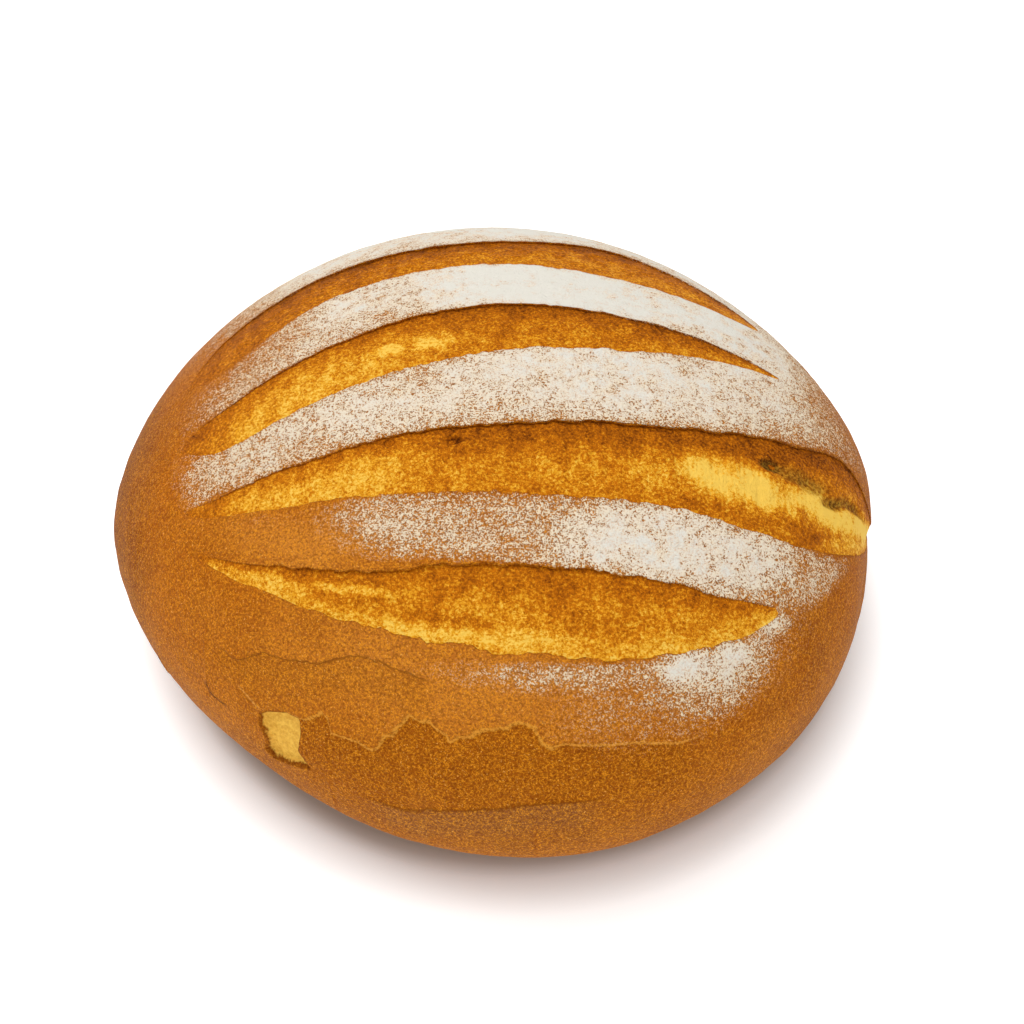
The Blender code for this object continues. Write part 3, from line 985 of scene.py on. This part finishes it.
@dataclass
class CrustPanel:
    """One closed body of crust between two scores, or between a score and the base.

    A lip is the crust's edge behind a score, a shelf its edge in front of one. Each rises
    within a reach in degrees, is rounded, and has a wall into the cut whose foot runs back.
    wall_below is how far a wall goes below the cut's depth, wall_least how far it goes where
    the cut is shut, and overlap how far the edges lap there. wear is how much flour is worn
    off along the shelf and the lip, and wear_reach over how many degrees. On a front panel
    fine_share of the rows lie above last_fine_roll.
    """

    name: str
    above: Score | None
    below: Score | None
    rows: int = 60
    columns: int = 560
    form: LoafForm = field(default_factory=LoafForm)
    flour: Flour = field(default_factory=Flour)
    front: FrontCrust | None = None
    lip_rise: float = 0.35
    lip_reach: float = 3.0
    lip_round: float = 0.22
    lip_foot: float = 1.0
    shelf_rise: float = 0.12
    shelf_round: float = 0.25
    shelf_foot: float = 1.6
    shelf_drop: float = 2.0
    shelf_sunk: float = 0.12
    wall_below: float = 1.5
    wall_least: float = 0.8
    overlap: float = 1.2
    unevenness: float = 0.13
    no_chip: float = -9.0
    wear: tuple[float, float] = (0.30, 0.50)
    wear_reach: tuple[float, float] = (0.6, 0.8)
    last_fine_roll: float = 112.0
    fine_share: float = 0.84

    def edge_kinds(self) -> tuple[Edge, Edge]:
        """The kind of the edge where the roll starts, and of the one where it ends."""
        return (Edge.SHELF if self.above else Edge.BASE), (Edge.LIP if self.below else Edge.BASE)

    def shares(self) -> np.ndarray:
        """Spaces the rows, evenly or, on the front panel, closer together where it is seen.

        Returns:
            How far along the panel each row lies, from 0 to 1.
        """
        even = np.linspace(0.0, 1.0, self.rows)
        if self.below:
            return even
        start = float(np.mean(self.above.front))
        fine_end = (self.last_fine_roll - start) / (180.0 - start)
        return np.interp(even, (0.0, self.fine_share, 1.0), (0.0, fine_end, 1.0))

    def skin(self, station: np.ndarray) -> tuple[np.ndarray, np.ndarray, np.ndarray]:
        """Rows on the outer side of the crust.

        Args:
            station: Angles of the columns in radians.

        Returns:
            Roll and height of each row and column, and how open the scores above and below are.
        """
        x = self.form.half_length * np.sin(station)
        start = np.full_like(x, -180.0)
        end = np.full_like(x, 180.0)
        start_open = np.zeros_like(x)
        end_open = np.zeros_like(x)
        if self.above:
            _, start, start_open = self.above.at(x, self.form.half_length)
        if self.below:
            end, _, end_open = self.below.at(x, self.form.half_length)
        roll = start + np.outer(self.shares(), end - start)
        lips = self.lip_rise * end_open ** 1.5 * np.exp((roll - end) / self.lip_reach)
        shelves = self.shelf_rise * start_open ** 1.5 * np.exp((start - roll) / self.lip_reach)
        return roll, lips + shelves, np.stack([start_open, end_open])

    def walls(self, roll: np.ndarray, height: np.ndarray, openings: np.ndarray,
              lip_side: bool) -> tuple[np.ndarray, np.ndarray, np.ndarray]:
        """Rows that turn over an edge and go down inside the cut.

        The edge is turned with a small radius; the foot of a lip then runs back under it.
        Past a score's tips a lip runs on over its neighbour instead, and a shelf under it, so
        that no seam shows.

        Args:
            roll: Roll of the edge at each column.
            height: Height of the edge at each column.
            openings: How open the cut is at each column.
            lip_side: True for a lip, False for a shelf.

        Returns:
            Roll, height and forward slip of the rows, from the edge inwards.
        """
        radius = self.lip_round if lip_side else self.shelf_round
        foot = self.lip_foot if lip_side else self.shelf_foot
        way = 1.0 if lip_side else -1.0
        open_ = openings ** 1.5
        shut = way * self.overlap * (1.0 - ease(openings / 0.25)) ** 2
        sunk = 0.0 if lip_side else self.shelf_sunk
        turn = np.radians(np.linspace(15.0, 150.0 if lip_side else 90.0, 7))[:, None]
        run = np.array([[0.02], [0.5], [0.96]])
        slips = [run * shut, shut + way * radius * np.sin(turn) * (0.1 + 0.9 * open_)]
        drops = [-sunk * (run + 0.0 * shut), radius * (np.cos(turn) - 1.0) * (0.1 + 0.9 * open_) - sunk]
        depth = (self.below.depth if lip_side else self.shelf_drop) + self.wall_below
        steps = np.linspace(0.25, 1.0, 4)[:, None]
        slips.append(slips[1][-1] - way * foot * steps * open_)
        drops.append(drops[1][-1] - (depth * open_ + self.wall_least) * steps)
        slip = np.concatenate(slips)
        return np.broadcast_to(roll, slip.shape), height + np.concatenate(drops), slip

    def build(self, material: bpy.types.Material) -> bpy.types.Object:
        """Lofts the panel and keeps its baking and flour at every point.

        Args:
            material: The crust's finish.

        Returns:
            The piece.
        """
        station = np.linspace(-0.5, 0.5, self.columns + 2)[1:-1] * math.pi
        roll, height, openings = self.skin(station)
        slip = np.zeros_like(roll)
        outer = np.ones_like(roll)
        worn = self.wear[0] * np.exp((roll[:1] - roll) / self.wear_reach[0]) * openings[0]
        worn = worn + self.wear[1] * np.exp((roll - roll[-1:]) / self.wear_reach[1]) * openings[1]
        for side, kind in enumerate(self.edge_kinds()):
            if kind is Edge.BASE:
                continue
            shelf = kind is Edge.SHELF
            wall = self.walls(roll[-side], height[-side], openings[side], not shelf)
            shut = np.broadcast_to(1.0 - openings[side] ** 0.5, wall[0].shape)
            parts = zip((roll, height, slip, outer, worn), (*wall, shut, 0.0 * shut))
            roll, height, slip, outer, worn = (
                np.concatenate([rows[::-1], grid] if shelf else [grid, rows]) for grid, rows in parts)
        point, normal, around = self.form.frames(station[None, :] + 0.0 * roll, roll)
        x = self.form.half_length * np.sin(station)[None, :] + 0.0 * roll
        height = height + self.form.settle(x, roll) + self.unevenness * rough(point, 7.0, 3, 21)
        chip = np.full_like(roll, self.no_chip)
        if self.front:
            height = height + self.front.relief(x, roll)
            chip = self.front.chip_edge(x, roll)
        point = point + normal * height[..., None] + around * slip[..., None]
        point[..., 2] = np.maximum(point[..., 2], 0.0)
        tips = self.form.raw(np.array([-0.5, 0.5]) * math.pi, np.array([0.0, 0.0])) - self.form.middle()
        fields = {
            # On the walls inside the cuts the toast is raised: painted shade in the cuts
            "toast": self.toast(x, roll, point) + 0.24 * (1.0 - outer) + 0.20 * worn,
            "rose": self.rose(x, roll, point) * outer,
            "flour": (self.flour.lies(x, roll) - worn) * outer,
            "chip": chip,
        }
        if self.front:
            for crack in self.front.cracks:
                away = crack.away(x, roll, self.front.mm_per_degree)
                fields[crack.name] = np.stack([away, crack.strength(x), 0.0 * away], axis=-1)
        return ring_loft(self.name, point, tips, material, fields)

    @staticmethod
    def toast(x: np.ndarray, roll: np.ndarray, point: np.ndarray) -> np.ndarray:
        """Tones the crust: gold near the left tip, darker at it, low down and to the right.

        Args:
            x: Stations in millimetres.
            roll: Roll angles in degrees.
            point: Places in millimetres.

        Returns:
            The tone, from 0 for gold to 1 for dark.
        """
        golden = Puff(-98.0, 20.0, 26.0, 45.0, 0.13).at(x, roll)
        low = ease((np.abs(roll) - 62.0) / 30.0)
        end = ease((-104.0 - x) / 22.0)
        right = ease((x - 20.0) / 90.0)
        patchy = 0.08 * rough(point, 22.0, 3, 41)
        rim = ease((np.abs(roll) - 80.0) / 14.0)
        return 0.30 - golden + 0.24 * low + 0.22 * rim + 0.54 * end + 0.12 * right + patchy

    @staticmethod
    def rose(x: np.ndarray, roll: np.ndarray, point: np.ndarray) -> np.ndarray:
        """Leans the crust to a dull tan round the fourth score and low on the front.

        Args:
            x: Stations in millimetres.
            roll: Roll angles in degrees.
            point: Places in millimetres.

        Returns:
            How far it leans, from 0 to 1.
        """
        shoulder = Puff(-14.0, 56.0, 70.0, 13.0, 0.85).at(x, roll)
        band = Puff(-56.0, 34.0, 34.0, 7.0, 0.85).at(x, roll)
        low = ease((np.abs(roll) - 58.0) / 30.0)
        return np.clip(shoulder + band + 0.34 * low + 0.14 * rough(point, 18.0, 2, 51), 0.0, 1.0)


@dataclass
class Bloom:
    """The torn crumb inside one score, a closed lens that rises from under the lip to the shelf.

    fullness is the power that makes it bulge, and shelf_gap its step below the crust. It
    runs on under the lip and, as a foot, under the shelf. A stretch is how many millimetres
    a degree of roll counts for in the noise of tears or strands. tip_toast is the baking at
    the left tip, and a spot with toast below pale_below shows strands.
    """

    score: Score
    rows: int = 90
    columns: int = 640
    form: LoafForm = field(default_factory=LoafForm)
    fullness: float = 0.6
    under_lip: float = 1.2
    under_shelf: float = 1.0
    shelf_gap: float = 0.12
    foot_depth: float = 2.5
    foot_least: float = 0.4
    tear_stretch: float = 0.4
    strand_stretch: float = 0.22
    tip_toast: float = 0.60
    pale_below: float = -0.2

    def build(self, material: bpy.types.Material) -> bpy.types.Object:
        """Lofts the crumb and keeps its baking at every point.

        Across the cut the crumb lies deep at the back and rises as the sine of a power of
        the way across, so that it bulges. Its last row is a foot tucked in under the shelf.
        Coarse lumps, tears and grain are added to it.

        Args:
            material: The crumb's finish.

        Returns:
            The piece.
        """
        score = self.score
        along = np.sin(np.linspace(-0.5, 0.5, self.columns + 2)[1:-1] * math.pi)
        stations = 0.5 * (score.left + score.right) + 0.5 * (score.right - score.left) * along
        back, front, opening = score.at(stations, self.form.half_length)
        wide = opening ** 1.5
        across = np.append(np.linspace(0.0, 1.0, self.rows), 1.0)[:, None]
        roll = back + across * (front - back)
        x = stations + 0.0 * roll
        fill = np.sin(0.5 * math.pi * across ** self.fullness)
        height = -(score.depth * (1.0 - fill) + self.shelf_gap) * wide
        height[-1] = -self.foot_depth * wide - self.foot_least
        slip = -self.under_lip * (1.0 - across) ** 6 * wide
        slip[-1] = self.under_shelf * wide
        point, normal, around = self.form.frames(self.angle(x), roll)
        torn = drawn_out(x, roll, self.tear_stretch)
        lumps = score.lump * rough(point, 9.0, 2, 61) + 0.30 * rough(point, 3.6, 2, 71)
        grain = 0.24 * rough(point, 1.7, 2, 81) + 0.22 * rough(torn, 2.4, 2, 85)
        free = np.sin(math.pi * across) ** 0.5 * wide
        sink = sum(spot.sink * spot.share(x, across) for spot in score.spots)
        height = height + (lumps + grain) * free - sink + self.form.settle(x, roll)
        point = point + normal * height[..., None] + around * slip[..., None]
        ends = self.angle(np.array([score.left, score.right]))
        tips = self.form.raw(ends, np.array([score.back[0], score.back[-1]])) - self.form.middle()
        fields = self.baking(x, roll, across, point)
        return ring_loft(f"crumb_{score.name}", point, tips, material, fields)

    def angle(self, x: np.ndarray) -> np.ndarray:
        """The station angle in radians of places along X."""
        return np.arcsin(np.clip(x / self.form.half_length, -1.0, 1.0))

    def baking(self, x: np.ndarray, roll: np.ndarray, across: np.ndarray,
               point: np.ndarray) -> dict[str, np.ndarray]:
        """Bakes the crumb: by the way across, by its spots, with painted shade, and towards the left tip.

        Args:
            x: Stations in millimetres.
            roll: Roll angles in degrees.
            across: The way across the cut, from 0 at the back to 1.
            point: Places in millimetres.

        Returns:
            The values that the finish reads: toast, the share of painted shade, pull and fibre.
        """
        score = self.score
        last = len(score.toast) - 1
        place = np.clip(across * last + 0.35 * rough(point, 11.0, 3, 91), 0.0, last - 0.001)
        streaks = rough(drawn_out(x, roll, self.tear_stretch), 2.4, 2, 85)
        shares = [(spot, spot.share(x, across)) for spot in score.spots]
        toast = through(score.toast, place) + 0.05 * streaks
        toast = toast + sum(spot.toast * share for spot, share in shares)
        toast = toast - score.left_glow * ease((-6.0 - x) / 44.0)
        toast = toast + (self.tip_toast - toast) * np.exp(-((x - score.left) / score.tip_blend) ** 2)
        pale = sum(share for spot, share in shares if spot.toast < self.pale_below) + 0.0 * x
        return {
            "toast": toast,
            "painted_shade": sum(spot.painted_shade * share for spot, share in shares) + 0.0 * x,
            "pull": drawn_out(x, roll, self.strand_stretch) * MM,
            "fibre": score.fibre * np.minimum(pale, 1.0),
        }


@dataclass
class PhotoStudio:
    """Plain pale floor, soft light from above, and the camera where the photograph was taken.

    The camera looks at aim on the floor. A shadow is painted into the floor's colour round
    shade_middle, fading out over shade_reach, and the floor glows from glow_reach outwards.
    Both reaches are distances from where the change starts to where it ends, in millimetres.
    """

    aim: tuple[float, float] = (7.7, 38.8)
    distance: float = 640.0
    elevation: float = 48.0
    focal_px: float = 1611.5
    floor_size: float = 6.0
    floor_height: float = -0.0002
    floor_colour: str = "#FAFAFA"
    shade_colour: str = "#C3BDB5"
    shade_middle: tuple[float, float] = (7.4, 5.0)
    shade_reach: tuple[float, float] = (120.0, 129.0)
    glow_reach: tuple[float, float] = (123.0, 143.0)
    glow: float = 0.42
    sky: float = 0.44

    def camera(self) -> None:
        """Sets the camera from its aim on the floor, its distance and its elevation."""
        tilt = math.radians(self.elevation)
        lens = bpy.data.cameras.new("camera")
        lens.sensor_width = SENSOR_MM
        lens.lens = self.focal_px * SENSOR_MM / FRAME_PX
        lens.clip_start = 0.01
        holder = add_object("camera", lens)
        target = Vector((self.aim[0], self.aim[1], 0.0)) * MM
        holder.location = target + Vector((0.0, -math.cos(tilt), math.sin(tilt))) * self.distance * MM
        holder.rotation_euler = (math.radians(90.0) - tilt, 0.0, 0.0)
        bpy.context.scene.camera = holder

    def floor(self) -> None:
        """Lays a matt white floor just under the base.

        Away from the loaf it glows, like a light table, so that it is pure white but for a
        narrow shadow painted into its colour round the base.
        """
        half = 0.5 * self.floor_size
        mesh = bpy.data.meshes.new("floor")
        corners = [(x * half, y * half, self.floor_height) for x, y in ((-1, -1), (1, -1), (1, 1), (-1, 1))]
        mesh.from_pydata(corners, [], [(0, 1, 2, 3)])
        finish = Finish("matt_white_paper")
        place = finish.add("ShaderNodeTexCoord").outputs["Object"]
        middle = Vector((self.shade_middle[0], self.shade_middle[1], 0.0)) * MM
        span = finish.add("ShaderNodeVectorMath", {0: place, 1: middle}, operation="DISTANCE")
        far = span.outputs["Value"]
        # Painted shadow: the floor's colour darkens to shade_colour round the base
        paper_with_painted_shadow = finish.blend(finish.span(far, self.shade_reach[0] * MM, self.shade_reach[1] * MM),
                             self.shade_colour, self.floor_colour)
        glow = finish.span(far, self.glow_reach[0] * MM, self.glow_reach[1] * MM, 0.0, self.glow)
        mesh.materials.append(finish.close({
            "Base Color": paper_with_painted_shadow, "Roughness": 0.9, "Emission Color": (1.0, 1.0, 1.0, 1.0),
            "Emission Strength": glow}))
        add_object("floor", mesh)

    def light(self, name: str, place: tuple[float, float, float], size: float, power: float) -> None:
        """Hangs one square softbox that faces the loaf.

        Args:
            name: The light's name.
            place: Where it hangs, in metres.
            size: Length of its side in metres.
            power: Its power in watts.
        """
        lamp = bpy.data.lights.new(name, "AREA")
        lamp.size = size
        lamp.energy = power
        holder = add_object(name, lamp)
        holder.location = place
        holder.rotation_euler = (-Vector(place)).to_track_quat("-Z", "Y").to_euler()

    def build(self) -> None:
        """Sets up the whole studio."""
        self.camera()
        self.floor()
        self.light("top_softbox", (-0.35, 0.35, 1.6), 1.6, 20.0)
        self.light("front_softbox", (0.2, -1.5, 1.1), 1.4, 7.0)
        world = bpy.data.worlds.new("studio")
        world.use_nodes = True
        backdrop = world.node_tree.nodes["Background"].inputs
        backdrop["Color"].default_value = (1.0, 1.0, 1.0, 1.0)
        backdrop["Strength"].default_value = self.sky
        scene = bpy.context.scene
        scene.world = world
        scene.view_settings.view_transform = "Standard"


def main() -> None:
    """Builds the loaf piece by piece and reports each one."""
    logging.basicConfig(level=logging.INFO, format="%(name)s: %(message)s")
    PhotoStudio().build()
    front = FrontCrust()
    crust = BakedCrust().make("hearth_baked_crust")
    layered = BakedCrust().make("flaked_crust", front.cracks)
    crumb = TornCrumb().make("oven_torn_crumb")
    first, second, third, fourth = SCORES
    panels = (
        CrustPanel("crust_back", None, first, rows=150),
        CrustPanel("crust_band_1", first, second),
        CrustPanel("crust_band_2", second, third),
        CrustPanel("crust_band_3", third, fourth),
        CrustPanel("crust_front", fourth, None, rows=160, front=front),
    )
    pieces = [panel.build(layered if panel.front else crust) for panel in panels]
    pieces += [Bloom(score).build(crumb) for score in SCORES]
    for piece in pieces:
        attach(piece, "root")
        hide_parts("loaf")
        log.info("%s has %d faces", piece.name, len(piece.data.polygons))


if __name__ == "__main__":
    main()
